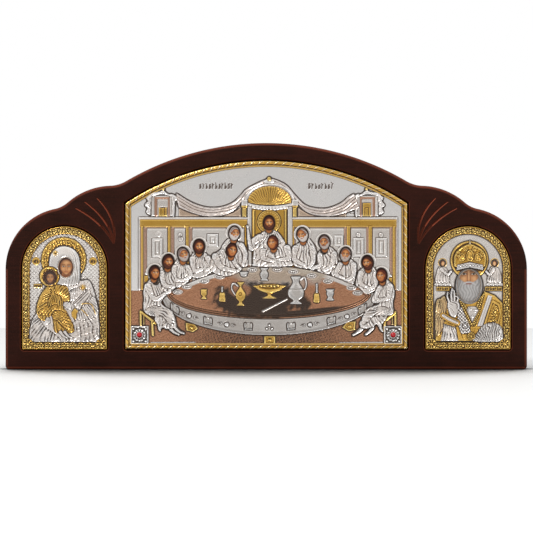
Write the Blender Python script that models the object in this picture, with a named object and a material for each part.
"""Three-panel devotional altarpiece: a dark stained board with three sunk panels of
silvered and gilded relief, two of them covers with a window over a painted insert, and
two red stones. Units are metres, +Z up, the front faces -Y."""

import math

import bmesh
import bpy
import numpy as np
from mathutils import Vector
from mathutils.geometry import delaunay_2d_cdt

MM = 0.001

# Board: overall size, and the circles that make its top edge
BOARD_WIDTH = 440 * MM
BOARD_HEIGHT = 191 * MM
BOARD_THICKNESS = 22 * MM
CROWN_RADIUS = 234 * MM
SHOULDER_RADIUS = 57 * MM
SHOULDER_FROM_SIDE = 90 * MM
SHOULDER_DROP = 36 * MM
LOBE_RADIUS = 52 * MM
LOBE_DROP = 54.5 * MM
CROWN_FILLET = 29 * MM
LOBE_FILLET = 24 * MM
FOOT_CORNER = 3 * MM
FRONT_ROUND = 3 * MM
BACK_CHAMFER = 1 * MM

# The wood that is left around the panels
SIDE_MARGIN = 14.3 * MM
POST_WIDTH = 15.2 * MM
PANEL_BOTTOM = 17 * MM
TOP_MARGIN = 15 * MM

# Panels: the outside of each pressed sheet; the centre one takes what the sides leave
SIDE_WIDTH = 71.5 * MM
SIDE_HEIGHT = 103.5 * MM
CENTRE_RISE = 36 * MM
CENTRE_WIDTH = BOARD_WIDTH - 2 * (SIDE_MARGIN + SIDE_WIDTH + POST_WIDTH)
CENTRE_HEIGHT = BOARD_HEIGHT - PANEL_BOTTOM - TOP_MARGIN

# Recesses, and how the panels lie in them
RECESS_DEPTH = 5 * MM
RECESS_GAP = 1.2 * MM
RECESS_CORNER = 3 * MM
RECESS_CHAMFER = 0.7 * MM
SEAT_GAP = 0.3 * MM
FIELD_SINK = 0.6 * MM
COVER_SHEET = 0.8 * MM
INSERT_INSET = 1 * MM

# Borders of the covers
ROPE_WIDTH = 3.4 * MM
ROPE_PITCH = 6.9 * MM
FILLET_WIDTH = 1.2 * MM
SIDE_BORDER = 6.3 * MM

# Carved grooves above the side panels
GROOVE_WIDTH = 2.6 * MM
GROOVE_DEPTH = 1.3 * MM
GROOVE_TIP_DROP = 49 * MM
GROOVE_FROM_SIDE = 91.5 * MM
# For each groove, from the tip where they meet: its upper end, and the point it bows towards
GROOVE_REACHES = [
    ((14 * MM, 38.5 * MM), (-3.5 * MM, 22 * MM)),
    ((24.5 * MM, 35.5 * MM), (2.5 * MM, 20 * MM)),
    ((32 * MM, 30 * MM), (9.5 * MM, 19 * MM)),
]

# Relief: how far its highest point stands above a panel's field
RELIEF_HEIGHT = 3.2 * MM
STONE_RADIUS = 2.3 * MM
STONE_HEIGHT = 1.5 * MM
ROSETTE_SIDE = 15.2 * MM
ROSETTE_HEIGHT = 0.9 * MM
ROSETTE_RIM = 1.2 * MM
ROSETTE_DISH = 0.3 * MM
BORDER_CREST = 1.6 * MM
BORDER_EDGE = 0.4 * MM

RELIEF_PROUD = RELIEF_HEIGHT - FIELD_SINK
DEPTH = BOARD_THICKNESS + RELIEF_PROUD
FACE_Y = RELIEF_PROUD - DEPTH / 2
BACK_Y = DEPTH / 2
FIELD_Y = FACE_Y + FIELD_SINK

# How finely curves and reliefs are faceted
ARC_STEP = 6 * MM
ROUND_STEPS = 3
LATTICE = 0.6 * MM
BROW_BLUR = 2
BROW_LEAST = 0.06
BROW_APART = 3
CENTRE_POINTS = 2400
SIDE_POINTS = 720


def material(name, colour, roughness, metallic):
    """A plain Principled material."""
    made = bpy.data.materials.new(name)
    made.use_nodes = True
    shader = made.node_tree.nodes["Principled BSDF"]
    shader.inputs["Base Color"].default_value = (*colour, 1)
    shader.inputs["Roughness"].default_value = roughness
    shader.inputs["Metallic"].default_value = metallic
    return made


def new_object(name, mesh, finish):
    """Links a mesh to the scene as a named object with one material."""
    made = bpy.data.objects.new(name, mesh)
    bpy.context.scene.collection.objects.link(made)
    made.data.materials.append(finish)
    return made


def arc(centre, radius, start, end, step=None):
    """Points along an arc from one angle to another, both ends included."""
    count = max(2, math.ceil(abs(end - start) * radius / (step or ARC_STEP)))
    angles = [start + (end - start) * i / count for i in range(count + 1)]
    return [(centre[0] + radius * math.cos(a), centre[1] + radius * math.sin(a)) for a in angles]


def without_repeats(points, least=0.05 * MM):
    """The points of a closed line, with those that fall on the one before left out."""
    kept = []
    for p in points:
        if not kept or math.dist(p, kept[-1]) > least:
            kept.append(p)
    if math.dist(kept[0], kept[-1]) < least:
        kept.pop()
    return kept


def fillet_between(outer, inner, radius):
    """The centre of a circle of this radius that touches two circles from outside, above them."""
    (ax, az, ar), (bx, bz, br) = outer, inner
    ra, rb = ar + radius, br + radius
    gap = math.dist((ax, az), (bx, bz))
    along = (ra * ra - rb * rb + gap * gap) / (2 * gap)
    side = math.sqrt(max(ra * ra - along * along, 0))
    ux, uz = (bx - ax) / gap, (bz - az) / gap
    found = [(ax + ux * along + s * uz * side, az + uz * along - s * ux * side) for s in (1, -1)]
    return max(found, key=lambda p: p[1])


def angle_to(start, end):
    return math.atan2(end[1] - start[1], end[0] - start[0])


def board_outline():
    """The board's outline in x and z, anticlockwise seen from the front, as arcs joined by fillets."""
    half = BOARD_WIDTH / 2
    crown = (0, BOARD_HEIGHT - CROWN_RADIUS, CROWN_RADIUS)
    shoulder = (half - SHOULDER_FROM_SIDE, BOARD_HEIGHT - SHOULDER_DROP - SHOULDER_RADIUS, SHOULDER_RADIUS)
    lobe = (half - LOBE_RADIUS, BOARD_HEIGHT - LOBE_DROP - LOBE_RADIUS, LOBE_RADIUS)
    upper = fillet_between(crown, shoulder, CROWN_FILLET)
    lower = fillet_between(shoulder, lobe, LOBE_FILLET)
    corner = (half - FOOT_CORNER, FOOT_CORNER)
    right = arc(corner, FOOT_CORNER, -math.pi / 2, 0, FOOT_CORNER)
    right += arc(lobe[:2], LOBE_RADIUS, 0, angle_to(lobe, lower))
    right += arc(lower, LOBE_FILLET, angle_to(lower, lobe), angle_to(lower, shoulder), ARC_STEP / 2)
    right += arc(shoulder[:2], SHOULDER_RADIUS, angle_to(shoulder, lower), angle_to(shoulder, upper))
    right += arc(upper, CROWN_FILLET, angle_to(upper, shoulder), angle_to(upper, crown), ARC_STEP / 2)
    right += arc(crown[:2], CROWN_RADIUS, angle_to(crown, upper), math.pi / 2)
    left = [(-x, z) for x, z in reversed(right)]
    return without_repeats(right + left)


def arched_outline(width, height, corner_height, grow=0.0, corner=0.0, step=None):
    """A panel's outline about its own bottom centre: straight sides and an arch from corner_height
    up to height. grow moves it outwards, and corner rounds its two feet."""
    half = width / 2
    rise = height - corner_height
    radius = (half * half + rise * rise) / (2 * rise)
    centre = height - radius
    half, radius, foot = half + grow, radius + grow, -grow
    start = math.acos(min(1, half / radius))
    if corner > 0:
        right = arc((half - corner, foot + corner), corner, -math.pi / 2, 0, corner)
    else:
        right = [(half, foot)]
    right += arc((0, centre), radius, start, math.pi / 2, step)
    return without_repeats(right + [(-x, z) for x, z in reversed(right)])


def shifted(points, x, z):
    return [(px + x, pz + z) for px, pz in points]


def inset(points, distance):
    """A closed anticlockwise line moved inwards along the normals at its points."""
    moved = []
    for i, (x, z) in enumerate(points):
        before, after = points[i - 1], points[(i + 1) % len(points)]
        first = Vector((x - before[0], z - before[1])).normalized()
        second = Vector((after[0] - x, after[1] - z)).normalized()
        normal = Vector((-first.y - second.y, first.x + second.x)).normalized()
        share = max(0.5, normal.dot(Vector((-first.y, first.x))))
        moved.append((x + normal.x * distance / share, z + normal.y * distance / share))
    return moved


def stacked_rings(rings):
    """A closed mesh from rings of equal length, given as (points, y), from front to back."""
    mesh = bmesh.new()
    made = [[mesh.verts.new((x, y, z)) for x, z in points] for points, y in rings]
    mesh.faces.new(made[0])
    mesh.faces.new(list(reversed(made[-1])))
    for near, far in zip(made, made[1:]):
        for i, corner in enumerate(near):
            j = (i + 1) % len(near)
            mesh.faces.new((corner, far[i], far[j], near[j]))
    bmesh.ops.recalc_face_normals(mesh, faces=mesh.faces)
    data = bpy.data.meshes.new("rings")
    mesh.to_mesh(data)
    mesh.free()
    return data


def cut(target, cutter_mesh, name):
    """Cuts a mesh out of an object with a Boolean, and keeps the cutter as a hidden helper."""
    cutter = bpy.data.objects.new(name, cutter_mesh)
    bpy.context.scene.collection.objects.link(cutter)
    cutter.hide_render = True
    cutter.display_type = "WIRE"
    modifier = target.modifiers.new(name, "BOOLEAN")
    modifier.operation = "DIFFERENCE"
    modifier.object = cutter


def panel_places():
    """Name, x, and size of each panel: (width, height, corner height)."""
    side = (SIDE_WIDTH, SIDE_HEIGHT, SIDE_HEIGHT - SIDE_WIDTH / 2)
    offset = (BOARD_WIDTH - SIDE_WIDTH) / 2 - SIDE_MARGIN
    return [
        ("left", -offset, side),
        ("centre", 0, (CENTRE_WIDTH, CENTRE_HEIGHT, CENTRE_HEIGHT - CENTRE_RISE)),
        ("right", offset, side),
    ]


def recess_cutter(place, size):
    """A recess with straight walls and a small chamfer where it meets the face."""
    walls = shifted(arched_outline(*size, grow=RECESS_GAP, corner=RECESS_CORNER), place, PANEL_BOTTOM)
    over = RECESS_CHAMFER
    return stacked_rings([
        (inset(walls, -2 * over), FACE_Y - over),
        (walls, FACE_Y + over),
        (walls, FACE_Y + RECESS_DEPTH),
    ])


def groove_curves():
    """The three grooves of the right side: (tip, bow, upper end), each for a quadratic curve."""
    tip = (BOARD_WIDTH / 2 - GROOVE_FROM_SIDE, BOARD_HEIGHT - SHOULDER_DROP - GROOVE_TIP_DROP)
    return [(tip, (tip[0] + bow[0], tip[1] + bow[1]), (tip[0] + end[0], tip[1] + end[1]))
            for end, bow in GROOVE_REACHES]


def groove_cutter(tip, bow, end, side):
    """A V-shaped groove along a quadratic curve, narrower towards its two ends."""
    stations, above = 10, GROOVE_DEPTH / 2
    mesh = bmesh.new()
    rings = []
    for i in range(stations + 1):
        t = i / stations
        point = [(1 - t) ** 2 * a + 2 * t * (1 - t) * b + t * t * c for a, b, c in zip(tip, bow, end)]
        along = [2 * (1 - t) * (b - a) + 2 * t * (c - b) for a, b, c in zip(tip, bow, end)]
        length = math.hypot(*along)
        across = (-along[1] / length, along[0] / length)
        swell = 0.25 + 0.75 * math.sin(math.pi * min(1, 0.12 + t * 0.8)) ** 0.6
        half, deep = GROOVE_WIDTH / 2 * swell, GROOVE_DEPTH * swell
        wide = half * (1 + above / deep)
        corners = [(w, FACE_Y - above) for w in (wide, -wide)] + [(0, FACE_Y + deep)]
        rings.append([mesh.verts.new((side * (point[0] + across[0] * w), y, point[1] + across[1] * w))
                      for w, y in corners])
    mesh.faces.new(rings[0])
    mesh.faces.new(list(reversed(rings[-1])))
    for near, far in zip(rings, rings[1:]):
        for i in range(3):
            j = (i + 1) % 3
            mesh.faces.new((near[i], far[i], far[j], near[j]))
    bmesh.ops.recalc_face_normals(mesh, faces=mesh.faces)
    data = bpy.data.meshes.new("groove")
    mesh.to_mesh(data)
    mesh.free()
    return data


def build_board(finish):
    """The board: rounded front edge, chamfered back edge, three recesses and six grooves."""
    outline = board_outline()
    rings = []
    for i in range(ROUND_STEPS + 1):
        turn = math.pi / 2 * i / ROUND_STEPS
        move = FRONT_ROUND * (1 - math.sin(turn))
        rings.append((inset(outline, move), FACE_Y + FRONT_ROUND * (1 - math.cos(turn))))
    rings.append((outline, BACK_Y - BACK_CHAMFER))
    rings.append((inset(outline, BACK_CHAMFER), BACK_Y))
    board = new_object("board", stacked_rings(rings), finish)
    for name, place, size in panel_places():
        cut(board, recess_cutter(place, size), f"recess_{name}")
    for side in (-1, 1):
        for i, (tip, bow, end) in enumerate(groove_curves()):
            name = f"groove_{'right' if side > 0 else 'left'}_{i + 1}"
            cut(board, groove_cutter(tip, bow, end, side), name)
    return board


def ellipse(grid, centre, half_width, half_height):
    """Distance outside an ellipse, nearly; negative inside it. All relief sizes are in millimetres."""
    reach = np.hypot((grid[0] - centre[0]) / half_width, (grid[1] - centre[1]) / half_height)
    return (reach - 1) * min(half_width, half_height)


def box(grid, left, right, bottom, top):
    """Distance outside an upright rectangle; negative inside it."""
    across = abs(grid[0] - (left + right) / 2) - (right - left) / 2
    upward = abs(grid[1] - (bottom + top) / 2) - (top - bottom) / 2
    return np.maximum(across, upward)


def stroke(grid, points, start, end=None):
    """Distance outside a rounded stroke through points, its radius running from start to end."""
    end = start if end is None else end
    nearest = np.full_like(grid[0], 1e3)
    for i, (a, b) in enumerate(zip(points, points[1:])):
        run, rise = b[0] - a[0], b[1] - a[1]
        along = ((grid[0] - a[0]) * run + (grid[1] - a[1]) * rise) / (run * run + rise * rise)
        along = np.clip(along, 0, 1)
        away = np.hypot(grid[0] - a[0] - along * run, grid[1] - a[1] - along * rise)
        share = (i + along) / (len(points) - 1)
        nearest = np.minimum(nearest, away - start - (end - start) * share)
    return nearest


def polygon(grid, points):
    """Distance outside a polygon; negative inside it."""
    nearest = np.full_like(grid[0], 1e6)
    inside = np.zeros(grid[0].shape, bool)
    for a, b in zip(points, points[1:] + points[:1]):
        run, rise = b[0] - a[0], b[1] - a[1]
        along = ((grid[0] - a[0]) * run + (grid[1] - a[1]) * rise) / (run * run + rise * rise)
        along = np.clip(along, 0, 1)
        away = np.hypot(grid[0] - a[0] - along * run, grid[1] - a[1] - along * rise)
        nearest = np.minimum(nearest, away)
        crosses = (a[1] > grid[1]) != (b[1] > grid[1])
        inside ^= crosses & (grid[0] < a[0] + (grid[1] - a[1]) * run / (rise or 1e-9))
    return np.where(inside, -nearest, nearest)


def lay(height, distance, low, high, run):
    """Lays a shape over what is there: its edge stands at low, and it swells to high over run."""
    share = np.clip(-distance / run, 0, 1)
    swell = low + (high - low) * np.sqrt(share * (2 - share))
    return np.where(distance < 0, swell, height)


def groove(height, distance, depth):
    """Presses a stroke's width into the relief."""
    return height - depth * np.clip(-distance / 0.5, 0, 1)


# The reliefs are drawn in millimetres, up from the surface that the board stands on, with the
# panel's foot here; they are stretched to the panel's real size
DRAWN_FOOT = 17
WINDOW_SIDES = 18

# Heights of the relief's layers above the panel's field, before it is scaled to its full height
WALL, CANOPY, FIGURE, HEAD, TABLE = 0.5, 1.0, 1.7, 2.6, 1.2
HEAD_WIDTH, HEAD_LENGTH, HALO_RADIUS = 5.0, 6.4, 7.6

# The people at the table, from the back to the front: where the head is, half the shoulders'
# width, where the body's hem is on the table's edge, and where the near hand lies
SITTERS = [
    {"head": (2.3, 123), "shoulders": 10, "hem": (1, 88), "hand": (9, 90)},
    {"head": (-27, 114.5), "shoulders": 6, "hem": (-20, 87), "hand": (-16, 88)},
    {"head": (30.5, 113.5), "shoulders": 9, "hem": (28, 87), "hand": (22, 89)},
    {"head": (48.8, 107), "shoulders": 7.5, "hem": (51, 82), "hand": (39, 84)},
    {"head": (-56.6, 103.5), "shoulders": 7, "hem": (-53, 80), "hand": (-46, 84)},
    {"head": (5.6, 107), "shoulders": 9.5, "hem": (8, 88), "hand": (-3, 91)},
    {"head": (-29, 100.5), "shoulders": 7, "hem": (-38, 80), "hand": (-23, 84)},
    {"head": (66.9, 97), "shoulders": 8, "hem": (65, 75), "hand": (56, 79)},
    {"head": (-69.8, 96.6), "shoulders": 7.5, "hem": (-68, 72), "hand": (-60, 76)},
    {"head": (85.2, 89.8), "shoulders": 8, "hem": (84, 65), "hand": (76, 70)},
    {"head": (-82.6, 90.6), "shoulders": 7, "hem": (-79, 66), "hand": (-72, 70)},
]
FRONT_SITTERS = [(-94, 81.5), (97, 79)]
TABLE_MIDDLE, TABLE_HALF, TABLE_ENDS = 2.3, 86, 64.4
TABLE_BACK_RADIUS, TABLE_DROP, BAND_DROP = 167, 21.5, 13.5

# What stands on the table, and its half width and height
VESSELS = [(-52.5, 63, 3, 5), (-37, 61.5, 3, 7), (-21.5, 64.5, 4.5, 10), (2.8, 66, 12, 6),
           (25, 68, 8, 11), (42.4, 61, 3, 7.5), (53.8, 63, 3.8, 5.5), (-1.7, 81, 4.5, 6)]


def head(height, grid, centre):
    """A head with a thin halo behind it."""
    halo = abs(ellipse(grid, (centre[0], centre[1] + 0.5), HALO_RADIUS, HALO_RADIUS)) - 0.35
    height = np.where(halo < 0, height + 0.35, height)
    shape = ellipse(grid, centre, HEAD_WIDTH, HEAD_LENGTH)
    return lay(height, shape, FIGURE, HEAD, 3.2)


def sitter(height, grid, who):
    """A figure at the table: shoulders, a body down to the table, an arm with its hand, a head."""
    x, z = who["head"]
    half, hem, hand = who["shoulders"], who["hem"], who["hand"]
    toward = 1 if hand[0] > hem[0] else -1
    neck = z - HEAD_LENGTH - 2.5
    slope = stroke(grid, [(x - half + 2.5, neck - 3), (x, neck), (x + half - 2.5, neck - 3)], 3)
    low = [(hem[0] + half, hem[1]), (hem[0] - half, hem[1])]
    trunk = polygon(grid, [(x - half, neck - 3), (x + half, neck - 3)] + low)
    height = lay(height, np.minimum(slope, trunk), WALL + 0.4, FIGURE, 4)
    height = groove(height, stroke(grid, [(x, neck - 1), (hem[0], hem[1] + 2)], 0.6), 0.4)
    elbow = (hem[0] - toward * half * 0.7, hem[1] + 3.5)
    sleeve = stroke(grid, [(x - toward * half * 0.6, neck - 4), elbow, hand], 3.2, 1.7)
    height = lay(height, sleeve, FIGURE - 0.3, FIGURE + 0.5, 2.4)
    return head(height, grid, who["head"])


def front_sitter(height, grid, centre):
    """A figure on a stool at the table's end, its knees turned to the table."""
    x, z = centre
    side = 1 if x < 0 else -1

    def at(across, up):
        return (x + side * across, z + up)
    for leg in ((-6, -1), (8, -6)):
        height = lay(height, stroke(grid, [at(leg[0], -34), at(leg[1] - 2, -50)], 1.6), 0.3, 1.0, 1.2)
    height = lay(height, stroke(grid, [at(-8, -34), at(6, -34)], 1.8), 0.3, 1.2, 1.4)
    for foot in (12, 21):
        shoe = stroke(grid, [at(foot, -45), at(foot + 1, -50), at(foot + 5, -51)], 1.5)
        height = lay(height, shoe, 0.3, 1.4, 1.2)
    back = [(-5, -8), (5, -8), (11, -26), (7, -34), (-6, -36), (-9.5, -28), (-8.5, -14)]
    back = polygon(grid, [at(*point) for point in back])
    lap = stroke(grid, [at(-2, -28), at(15, -28)], 7, 4)
    shins = stroke(grid, [at(15, -29), at(9, -45)], 5, 6)
    height = lay(height, shins, 0.6, FIGURE, 3.5)
    height = lay(height, np.minimum(back, lap), WALL + 0.6, FIGURE + 0.4, 4)
    sleeve = stroke(grid, [at(-3, -12), at(1, -24), at(12, -22)], 3.4, 1.8)
    height = lay(height, sleeve, FIGURE, FIGURE + 0.8, 2.4)
    return head(height, grid, centre)


def table(height, grid):
    """The round table: a lens-shaped top and its curved front band, with the things on it."""
    across = np.clip(abs(grid[0] - TABLE_MIDDLE) / TABLE_HALF, 0, 1)
    bow = np.sqrt(1 - across ** 2)
    front = TABLE_ENDS - TABLE_DROP * bow
    rise = TABLE_HALF ** 2 / (2 * TABLE_BACK_RADIUS)
    crown = (TABLE_MIDDLE, TABLE_ENDS + rise + 0.6 - TABLE_BACK_RADIUS)
    top = np.maximum(ellipse(grid, crown, TABLE_BACK_RADIUS, TABLE_BACK_RADIUS), front - grid[1])
    band = np.maximum(grid[1] - front, front - BAND_DROP * (0.3 + 0.7 * bow) - grid[1])
    reach = abs(grid[0] - TABLE_MIDDLE) - TABLE_HALF
    height = lay(height, np.maximum(band, reach + 4), 0.3, TABLE + 0.3, 0.8)
    height = lay(height, np.maximum(top, reach), TABLE - 0.4, TABLE, 1)
    height = lay(height, np.maximum(abs(grid[1] - front) - 1, reach), TABLE, TABLE + 0.6, 0.8)
    for x, z, half, tall in VESSELS:
        height = lay(height, ellipse(grid, (x, z), half, tall), TABLE + 0.4, TABLE + 0.9, 2)
    return height


def scenery(height, grid):
    """The walls, screens, canopy and throne behind the table."""
    floor = box(grid, -120, 120, 0, 62)
    height = np.where(floor < 0, 0.1, height)
    for left, right in ((-107.5, -13), (19, 111)):
        height = lay(height, box(grid, left, right, 62, 128.5), 0.1, WALL, 0.4)
        height = lay(height, box(grid, left, right, 120, 128.5), WALL, WALL + 0.4, 0.6)
    for post in (-105, -81.5, -66, 69, 87, 107):
        height = lay(height, box(grid, post - 1.5, post + 1.5, 62, 121), WALL, WALL + 0.4, 0.6)
    for left, right, top in ((-100, -75, 152), (67.5, 100, 153)):
        height = lay(height, box(grid, left, right, 128.5, top - 6), 0.1, CANOPY - 0.2, 0.5)
        middle = (left + right) / 2
        eaves = [(left - 2, top - 7), (right + 2, top - 7)]
        ridge = [(middle + 2, top - 1), (middle - 2, top - 1)]
        height = lay(height, polygon(grid, eaves + ridge), 0.2, CANOPY, 1.2)
    for side in (-1, 1):
        swag = ((78, 141), (60, 132), (44, 132), (28, 142), (14, 155), (0, 160))
        swag = stroke(grid, [(side * x + TABLE_MIDDLE, z) for x, z in swag], 5.5, 2)
        height = lay(height, swag, 0.1, CANOPY + 0.5, 3.5)
        middle = TABLE_MIDDLE + side * 18.2
        height = lay(height, box(grid, middle - 4.8, middle + 4.8, 108, 139), 0.1, CANOPY, 1)
    dome = np.maximum(ellipse(grid, (TABLE_MIDDLE, 137), 18.5, 18), 139 - grid[1])
    height = lay(height, dome, 0.3, CANOPY + 0.7, 6)
    height = lay(height, box(grid, -17, 21.5, 134, 139.5), 0.3, CANOPY + 0.6, 1)
    height = lay(height, box(grid, -12, 17, 88, 134), 0.2, 0.5, 0.5)
    halo = abs(ellipse(grid, (TABLE_MIDDLE, 124.5), 9.7, 9.7)) - 0.8
    return lay(height, halo, 0.5, 1.2, 0.8)


def centre_relief(grid):
    """The supper scene: scenery, people behind the table, the table, and the two in front."""
    height = scenery(np.zeros_like(grid[0]), grid)
    for who in SITTERS:
        height = sitter(height, grid, who)
    height = table(height, grid)
    for centre in FRONT_SITTERS:
        height = front_sitter(height, grid, centre)
    return height


def with_rosettes(height, grid):
    """The square rosettes over the scene's two lower corners, z up from the panel's foot."""
    side, tall = ROSETTE_SIDE / MM, ROSETTE_HEIGHT / MM
    for place, up in rosette_places():
        x, z = place / MM, (up - PANEL_BOTTOM) / MM
        square = box(grid, x - side / 2, x + side / 2, z - side / 2, z + side / 2)
        height = np.where(square < 0, tall, height)
        height = np.where(square < -ROSETTE_RIM / MM, tall - ROSETTE_DISH / MM, height)
    return height


def rosette_places():
    """The middle of the square rosette in each lower corner of the centre panel."""
    inner = CENTRE_WIDTH / 2 - ROPE_WIDTH - FILLET_WIDTH
    up = PANEL_BOTTOM + ROPE_WIDTH + FILLET_WIDTH
    return [(side * (inner - ROSETTE_SIDE / 2), up + ROSETTE_SIDE / 2) for side in (-1, 1)]


# Side panels: the halo's centre and radius, from the panel's own middle line
LEFT_HALO, LEFT_HALO_RADIUS = (-0.6, 92.5), 19
RIGHT_HALO, RIGHT_HALO_RADIUS = (1.5, 92.5), 16
LEFT_WINDOWS = [((1.2, 86), 6.2, 8.2), ((-12.2, 77.5), 3.9, 4.7)]
RIGHT_WINDOWS = [((0.8, 70.5), 9.6, 13.3)]


def left_relief(grid):
    """A mother with a child on her arm: haloes, veil, robe, the child and her hands."""
    halo = ellipse(grid, LEFT_HALO, LEFT_HALO_RADIUS, LEFT_HALO_RADIUS)
    height = lay(np.zeros_like(grid[0]), halo, 0.6, 0.9, 1)
    height = lay(height, ellipse(grid, (-12.2, 78.5), 8.5, 8.5), 0.7, 1.1, 1)
    robe = polygon(grid, [(-8, 78), (13, 78), (22, 73), (27, 60), (30, 23), (-30, 23), (-24, 46), (-14, 66)])
    height = lay(height, robe, 0.4, FIGURE, 7)
    for fold in range(5):
        x = 8 + 4.2 * fold
        height = groove(height, stroke(grid, [(x - 2, 62 - 4 * fold), (x + 1, 24)], 0.8), 0.7)
    height = lay(height, ellipse(grid, (0.3, 88.5), 12, 15.5), FIGURE - 0.5, HEAD, 6)
    child = polygon(grid, [(-16, 72), (-8, 72), (2, 62), (9, 33), (-9, 28), (-14, 41), (-22, 47), (-23, 56)])
    height = lay(height, child, FIGURE, HEAD, 6)
    for fold in range(4):
        crease = stroke(grid, [(-18 + 3 * fold, 60 - 8 * fold), (3, 56 - 7 * fold)], 0.8)
        height = groove(height, crease, 0.5)
    height = lay(height, ellipse(grid, (-12.2, 78), 5.6, 6.6), HEAD - 0.6, HEAD, 3)
    height = lay(height, stroke(grid, [(21, 40), (10, 47), (-4, 56)], 5, 2.2), HEAD - 0.5, HEAD + 0.4, 3)
    return lay(height, stroke(grid, [(-26, 30), (-20, 38), (-12, 43)], 4.5, 2.2), FIGURE, HEAD, 3)


def right_relief(grid):
    """A bearded bishop: halo, crown, robe with its stole, a raised hand and a book."""
    halo = ellipse(grid, RIGHT_HALO, RIGHT_HALO_RADIUS, RIGHT_HALO_RADIUS)
    height = lay(np.zeros_like(grid[0]), halo, 0.7, 1.2, 1)
    for side, x in ((-1, -21), (1, 22.5)):
        small = stroke(grid, [(x, 90), (x + side, 80), (x - side * 2, 76)], 2.4, 4.2)
        height = lay(height, small, 0.4, 1.3, 2)
        height = lay(height, box(grid, x - 6, x + 6, 66.3, 70), 0.2, 0.8, 0.6)
    robe = polygon(grid, [(-10, 66), (13, 66), (28, 58), (29, 23), (-27, 23), (-27, 54)])
    height = lay(height, robe, 0.4, FIGURE, 7)
    height = lay(height, ellipse(grid, (0.8, 74), 12.5, 18), FIGURE - 0.4, FIGURE + 0.5, 3)
    crown = np.maximum(ellipse(grid, (1.4, 90), 13.5, 16.5), 84 - grid[1])
    height = lay(height, crown, FIGURE, HEAD, 4)
    height = lay(height, box(grid, -10.5, 13, 84, 90), HEAD - 0.3, HEAD + 0.3, 1)
    for side in (-1, 1):
        stole = stroke(grid, [(0.8 + side * 12, 62), (2.5, 40)], 2.6)
        height = lay(height, stole, FIGURE, FIGURE + 0.7, 1.6)
    height = lay(height, box(grid, 17, 28, 40, 57), FIGURE, HEAD, 1.2)
    height = lay(height, stroke(grid, [(12, 34), (27, 30)], 5, 6.5), FIGURE, HEAD + 0.2, 4)
    height = lay(height, stroke(grid, [(-24, 36), (-13, 44)], 6, 5), FIGURE - 0.2, HEAD - 0.2, 4)
    hand = stroke(grid, [(-13, 48), (-13.5, 58), (-12, 68)], 4.4, 1.8)
    return lay(height, hand, FIGURE + 0.2, HEAD + 0.5, 3)


def border_height(edge, width):
    """The height of a border's half-round moulding, by distance in from the edge."""
    share = np.clip(1 - 2 * edge / width, -1, 1)
    low, crest = BORDER_EDGE / MM, BORDER_CREST / MM
    return low + (crest - low) * np.sqrt(1 - share ** 2)


def relief_grid(size):
    """The lattice that a panel's relief is measured on: x and z in millimetres, z up from the foot."""
    columns = np.arange(-size[0] / 2, size[0] / 2 + LATTICE / 2, LATTICE) / MM
    rows = np.arange(0, size[1] + LATTICE / 2, LATTICE) / MM
    return np.meshgrid(columns, rows)


def sample(heights, x, z):
    """A height read off the lattice, between its four nearest points."""
    step = LATTICE / MM
    columns = np.clip((x - heights["left"]) / step, 0, heights["values"].shape[1] - 1.001)
    rows = np.clip(z / step, 0, heights["values"].shape[0] - 1.001)
    i, j = rows.astype(int), columns.astype(int)
    down, over = rows - i, columns - j
    values = heights["values"]
    low = values[i, j] * (1 - over) + values[i, j + 1] * over
    high = values[i + 1, j] * (1 - over) + values[i + 1, j + 1] * over
    return low * (1 - down) + high * down


def triangulate(points, loops):
    """Triangles of a flat point set that keep to closed loops of edges: (points, triangles)."""
    edges = []
    for loop in loops:
        edges += list(zip(loop, loop[1:] + loop[:1]))
    found = delaunay_2d_cdt([Vector(p) for p in points], edges, [], 0, 1e-6)
    return np.array([tuple(p) for p in found[0]]), np.array(found[2])


def kept_triangles(flat, triangles, outline, windows):
    """The triangles that lie within the outline and outside every window."""
    middles = flat[triangles].mean(axis=1)
    grid = (middles[:, 0], middles[:, 1])
    keep = polygon(grid, outline) < 0
    for window in windows:
        keep &= polygon(grid, window) > 0
    return triangles[keep]


def blurred(values, reach):
    """Each value averaged with its neighbours, reach lattice steps either way."""
    for axis in (0, 1):
        padded = np.pad(values, [(reach, reach) if k == axis else (0, 0) for k in (0, 1)], mode="edge")
        total = np.cumsum(padded, axis=axis)
        total = np.insert(total, 0, 0, axis=axis)
        ends = np.take(total, range(2 * reach + 1, total.shape[axis]), axis=axis)
        starts = np.take(total, range(0, total.shape[axis] - 2 * reach - 1), axis=axis)
        values = (ends - starts) / (2 * reach + 1)
    return values


def brow_points(values, grid, edge, width, windows, allowed):
    """Points along the brows and the feet of the relief's steps, sharpest first, each kept
    clear of the others: a brow point of other brows, a foot point of other feet."""
    lift = values - blurred(values, BROW_BLUR)
    lift[edge < width + 0.8] = 0
    for window in windows:
        lift[polygon(grid, window) < 0.6] = 0
    order = np.argsort(-abs(lift), axis=None)
    order = order[: int(np.count_nonzero(abs(lift) > BROW_LEAST))]
    rows, columns = lift.shape
    free = {1: np.ones(lift.shape, bool), -1: np.ones(lift.shape, bool)}
    found = []
    for at in order:
        i, j = divmod(int(at), columns)
        sign = 1 if lift[i, j] > 0 else -1
        if not free[sign][i, j]:
            continue
        found.append((float(grid[0][i, j]), float(grid[1][i, j])))
        for kind, clear in ((sign, BROW_APART), (-sign, 1)):
            free[kind][max(0, i - clear):i + clear + 1, max(0, j - clear):j + clear + 1] = False
        if len(found) >= allowed:
            break
    return found


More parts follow.
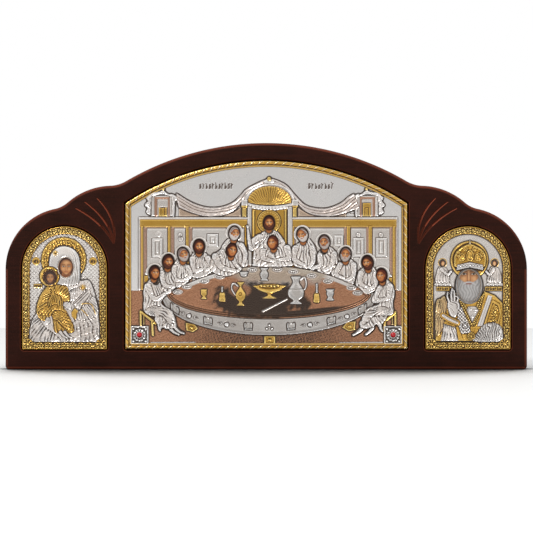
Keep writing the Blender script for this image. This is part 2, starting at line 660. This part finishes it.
def worst_points(flat, triangles, heights, grid, allowed):
    """In each triangle, the lattice point that the flat facet misses by most, worst first."""
    z = sample(heights, flat[:, 0], flat[:, 1])
    found = []
    step = LATTICE / MM
    rows, columns = heights["values"].shape
    for corners in triangles:
        p, h = flat[corners], z[corners]
        low, high = p.min(axis=0), p.max(axis=0)
        i0, i1 = max(0, math.ceil(low[1] / step)), min(rows, math.floor(high[1] / step) + 1)
        j0 = max(0, math.ceil((low[0] - heights["left"]) / step))
        j1 = min(columns, math.floor((high[0] - heights["left"]) / step) + 1)
        if i1 <= i0 or j1 <= j0:
            continue
        (ax, az), (bx, bz), (cx, cz) = p
        area = (bx - ax) * (cz - az) - (cx - ax) * (bz - az)
        if abs(area) < 0.3:
            continue
        x, zz = grid[0][i0:i1, j0:j1], grid[1][i0:i1, j0:j1]
        first = ((bx - x) * (cz - zz) - (cx - x) * (bz - zz)) / area
        second = ((cx - x) * (az - zz) - (ax - x) * (cz - zz)) / area
        third = 1 - first - second
        inside = (first > 0.12) & (second > 0.12) & (third > 0.12)
        if not inside.any():
            continue
        miss = abs(first * h[0] + second * h[1] + third * h[2] - heights["values"][i0:i1, j0:j1])
        miss = np.where(inside, miss, -1)
        at = np.unravel_index(np.argmax(miss), miss.shape)
        found.append((float(miss[at]), float(x[at]), float(zz[at])))
    found.sort(reverse=True)
    return [(x, z) for _, x, z in found[:allowed]]


def relief_solid(name, size, job, finish):
    """A closed solid with a relief on its front and a flat back, its facets put where they are
    needed most."""
    grid = relief_grid(size)
    rings, windows, budget = job["rings"], window_outlines(size, job), job["points"]
    outline = [(x / MM, z / MM) for x, z in arched_outline(*size, step=ARC_STEP)]
    outline = divided(outline, ARC_STEP / MM)
    edge = -polygon(grid, outline)
    width = rings[-1]
    drawn_x, drawn_z = drawn_scale(size, job)
    values = job["relief"]((grid[0] * drawn_x, grid[1] * drawn_z + DRAWN_FOOT))
    values = values * (RELIEF_HEIGHT / MM) / values.max()
    if job["rosettes"]:
        values = with_rosettes(values, grid)
    values = np.where(edge > width, values * np.clip((edge - width) / 0.8, 0, 1), border_height(edge, width))
    heights = {"values": values, "left": float(grid[0][0, 0])}

    points = list(outline)
    loops = [list(range(len(outline)))]
    for window in windows:
        loops.append(list(range(len(points), len(points) + len(window))))
        points += window
    for distance in rings[:-1] + [width + 0.05]:
        ring = inset(outline, distance)
        loops.append(list(range(len(points), len(points) + len(ring))))
        points += ring
    top = np.unravel_index(np.argmax(values), values.shape)
    points.append((float(grid[0][top]), float(grid[1][top])))
    points += brow_points(values, grid, edge, width, windows, budget - len(points) - budget // 6)
    while True:
        flat, triangles = triangulate(points, loops)
        triangles = kept_triangles(flat, triangles, outline, windows)
        missing = budget - len(points)
        if missing <= 0:
            break
        added = worst_points(flat, triangles, heights, grid, min(missing, budget // 12))
        if not added:
            break
        points += added
    border = len(outline) + sum(len(w) for w in windows)
    return closed_relief(name, flat, triangles, heights, border, job["depth"], finish)


def divided(points, longest):
    """A closed line with its long stretches divided into equal parts."""
    made = []
    for a, b in zip(points, points[1:] + points[:1]):
        parts = max(1, math.ceil(math.dist(a, b) / longest))
        made += [(a[0] + (b[0] - a[0]) * i / parts, a[1] + (b[1] - a[1]) * i / parts) for i in range(parts)]
    return made


def closed_relief(name, flat, triangles, heights, border, depth, finish):
    """Joins the relief's facets to a flat back, with walls around its outline and its windows.
    The first border points are those of the outline and the windows."""
    z = sample(heights, flat[:, 0], flat[:, 1])
    mesh = bmesh.new()
    front = [mesh.verts.new((p[0] * MM, -h * MM, p[1] * MM)) for p, h in zip(flat, z)]
    for a, b, c in triangles:
        mesh.faces.new((front[a], front[b], front[c]))
    edges = [e for e in mesh.edges if e.is_boundary]
    number = {v: i for i, v in enumerate(front)}
    back = [mesh.verts.new((p[0] * MM, depth, p[1] * MM)) for p in flat[:border]]
    for edge in edges:
        a, b = (number[v] for v in edge.verts)
        mesh.faces.new((front[a], front[b], back[b], back[a]))
    rims = [[number[v] for v in loop] for loop in boundary_loops(edges)]
    under, faces = triangulate([tuple(p) for p in flat[:border]], rims)
    outer = max(rims, key=lambda rim: np.ptp(flat[rim][:, 0]))
    holes = [[tuple(flat[i]) for i in rim] for rim in rims if rim is not outer]
    for a, b, c in kept_triangles(under, faces, [tuple(flat[i]) for i in outer], holes):
        mesh.faces.new((back[a], back[b], back[c]))
    loose = [v for v in mesh.verts if not v.link_faces]
    bmesh.ops.delete(mesh, geom=loose, context="VERTS")
    bmesh.ops.recalc_face_normals(mesh, faces=mesh.faces)
    data = bpy.data.meshes.new(name)
    mesh.to_mesh(data)
    mesh.free()
    return new_object(name, data, finish)


def boundary_loops(edges):
    """The closed loops of vertices that a set of edges makes."""
    ways = {}
    for edge in edges:
        a, b = edge.verts
        ways.setdefault(a, []).append(b)
        ways.setdefault(b, []).append(a)
    loops = []
    while ways:
        start = next(iter(ways))
        loop, here = [start], start
        while True:
            onward = [v for v in ways.get(here, []) if v is not start or len(loop) > 2]
            onward = [v for v in onward if v not in loop[1:]]
            if not onward or onward[0] is start:
                break
            here = onward[0]
            loop.append(here)
        for vert in loop:
            ways.pop(vert)
        loops.append(loop)
    return loops


def drawn_scale(size, job):
    """How many drawn millimetres a real one is, across and upwards."""
    return job["drawn"][0] * MM / size[0], job["drawn"][1] * MM / size[1]


def window_outlines(size, job):
    """Each window of a cover as a closed line of points, z up from the panel's foot."""
    drawn_x, drawn_z = drawn_scale(size, job)
    turns = [2 * math.pi * i / WINDOW_SIDES for i in range(WINDOW_SIDES)]
    outlines = []
    for (x, z), half_width, half_height in job["windows"]:
        z -= DRAWN_FOOT
        outlines.append([((x + half_width * math.cos(t)) / drawn_x, (z + half_height * math.sin(t)) / drawn_z)
                         for t in turns])
    return outlines


def panel_jobs():
    """What is on each panel: its relief and the size that it is drawn at, the lines along its
    border, its windows, how far it reaches back from its field, and how many points it gets."""
    rope = [0.4, ROPE_WIDTH / MM / 2, (ROPE_WIDTH + FILLET_WIDTH) / MM]
    side = [0.4, SIDE_BORDER / MM / 2, SIDE_BORDER / MM]
    return {
        "centre": {"relief": centre_relief, "drawn": (238, 159), "rings": rope, "windows": [],
                   "depth": RECESS_DEPTH - FIELD_SINK - SEAT_GAP, "points": CENTRE_POINTS, "rosettes": True},
        "left": {"relief": left_relief, "drawn": (71.5, 103.5), "rings": side, "windows": LEFT_WINDOWS,
                 "depth": COVER_SHEET, "points": SIDE_POINTS, "rosettes": False},
        "right": {"relief": right_relief, "drawn": (71.5, 103.5), "rings": side, "windows": RIGHT_WINDOWS,
                  "depth": COVER_SHEET, "points": SIDE_POINTS, "rosettes": False},
    }


def build_panels(finishes):
    """The solid centre relief, the two pierced side covers, and the painted inserts behind them."""
    jobs = panel_jobs()
    for name, place, size in panel_places():
        node = "centre_plate" if name == "centre" else f"{name}_cover"
        made = relief_solid(node, size, jobs[name], finishes["silver"])
        made.location = (place, FIELD_Y, PANEL_BOTTOM)
        if jobs[name]["windows"]:
            near = FIELD_Y + COVER_SHEET + SEAT_GAP
            far = FACE_Y + RECESS_DEPTH - SEAT_GAP
            shape = arched_outline(*size, grow=-INSERT_INSET)
            painting = new_object(f"{name}_painting", stacked_rings([(shape, near), (shape, far)]),
                                  finishes["painting"])
            painting.location = (place, 0, PANEL_BOTTOM)


def build_stones(finish):
    """A domed red stone on the middle of each square rosette."""
    sides, levels = 14, 3
    for name, (x, z) in zip(("stone_left", "stone_right"), rosette_places()):
        rings = []
        for i in range(levels + 1):
            turn = math.pi / 2 * (1 - i / (levels + 0.4))
            radius, rise = STONE_RADIUS * math.cos(turn * 0.92), STONE_HEIGHT * math.sin(turn)
            angles = [2 * math.pi * k / sides for k in range(sides)]
            rings.append(([(radius * math.cos(a), radius * math.sin(a)) for a in angles], -rise))
        rings.append((rings[-1][0], 0))
        stone = new_object(name, stacked_rings(rings), finish)
        stone.location = (x, FIELD_Y - ROSETTE_HEIGHT - SEAT_GAP, z)


def main():
    for old in list(bpy.data.objects):
        bpy.data.objects.remove(old)
    finishes = {
        "wood": material("stained wood", (0.028, 0.009, 0.005), 0.45, 0),
        "silver": material("silvered sheet with gilding", (0.68, 0.65, 0.62), 0.3, 1),
        "painting": material("painted insert", (0.35, 0.15, 0.07), 0.55, 0),
        "stone": material("red glass", (0.6, 0.005, 0.008), 0.08, 0),
    }
    build_board(finishes["wood"])
    build_panels(finishes)
    build_stones(finishes["stone"])


main()
